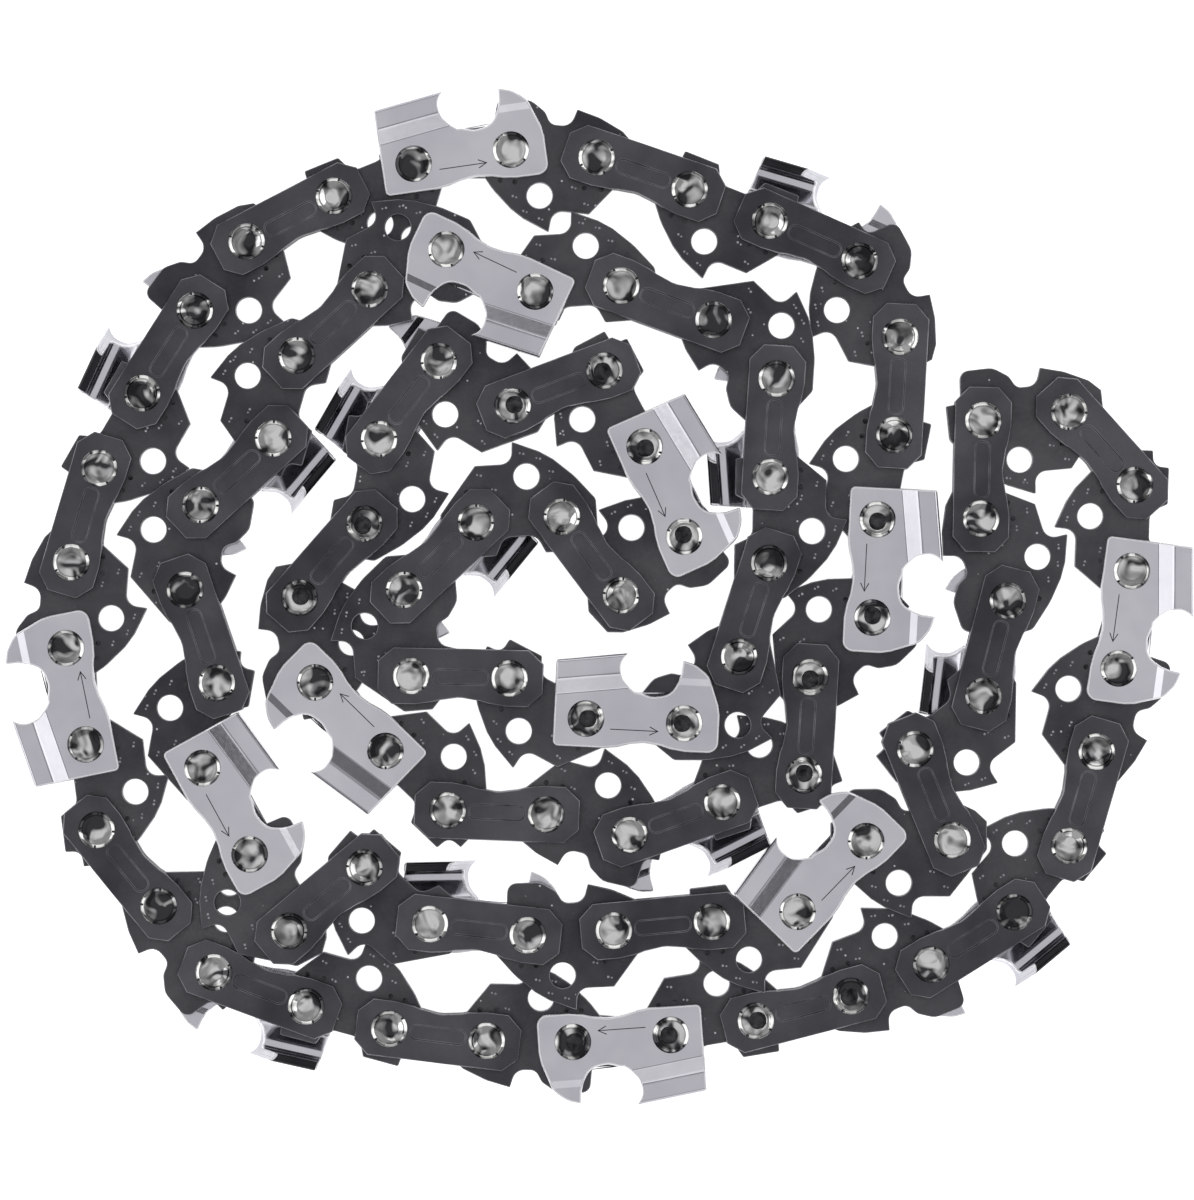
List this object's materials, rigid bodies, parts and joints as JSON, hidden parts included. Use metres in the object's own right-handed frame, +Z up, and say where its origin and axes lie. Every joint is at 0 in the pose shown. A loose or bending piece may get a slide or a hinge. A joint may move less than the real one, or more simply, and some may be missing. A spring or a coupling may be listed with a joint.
{
  "type": "chainsaw chain loop",
  "caption": "Closed loop of low-profile saw chain lying coiled on its side: chromed cutters, tie straps, hooked drive links with tang holes, and rivets.",
  "frame": {"origin": "under the middle of the coil, on the surface it lies on", "axes": "+Z up out of the surface, along the rivets; +X along the longer side of the coil"},
  "size_m": [0.1202, 0.1028, 0.0077],
  "materials": {
    "chromed_steel": "satin",
    "blued_steel": "satin",
    "rivet_steel": "satin"
  },
  "bodies": {
    "root": {"left_cutter_01": "chromed_steel", "left_cutter_02": "chromed_steel", "left_cutter_03": "chromed_steel", "left_cutter_04": "chromed_steel", "left_cutter_05": "chromed_steel", "left_cutter_06": "chromed_steel", "left_cutter_07": "chromed_steel", "left_cutter_08": "chromed_steel", "left_cutter_09": "chromed_steel", "left_cutter_10": "chromed_steel", "left_cutter_11": "chromed_steel", "right_cutter_01": "chromed_steel", "right_cutter_02": "chromed_steel", "right_cutter_03": "chromed_steel", "right_cutter_04": "chromed_steel", "right_cutter_05": "chromed_steel", "right_cutter_06": "chromed_steel", "right_cutter_07": "chromed_steel", "right_cutter_08": "chromed_steel", "right_cutter_09": "chromed_steel", "right_cutter_10": "chromed_steel", "right_cutter_11": "chromed_steel", "tie_strap_pair_01": "blued_steel", "tie_strap_pair_02": "blued_steel", "tie_strap_pair_03": "blued_steel", "tie_strap_pair_04": "blued_steel", "tie_strap_pair_05": "blued_steel", "tie_strap_pair_06": "blued_steel", "tie_strap_pair_07": "blued_steel", "tie_strap_pair_08": "blued_steel", "tie_strap_pair_09": "blued_steel", "tie_strap_pair_10": "blued_steel", "tie_strap_pair_11": "blued_steel", "tie_strap_pair_12": "blued_steel", "tie_strap_pair_13": "blued_steel", "tie_strap_pair_14": "blued_steel", "tie_strap_pair_15": "blued_steel", "tie_strap_pair_16": "blued_steel", "tie_strap_pair_17": "blued_steel", "tie_strap_pair_18": "blued_steel", "tie_strap_pair_19": "blued_steel", "tie_strap_pair_20": "blued_steel", "tie_strap_pair_21": "blued_steel", "tie_strap_pair_22": "blued_steel", "tie_strap_pair_23": "blued_steel", "cutter_straps": "blued_steel", "plain_drive_links": "blued_steel", "bumper_drive_links": "blued_steel", "rivets": "rivet_steel"}
  },
  "joints": []
}
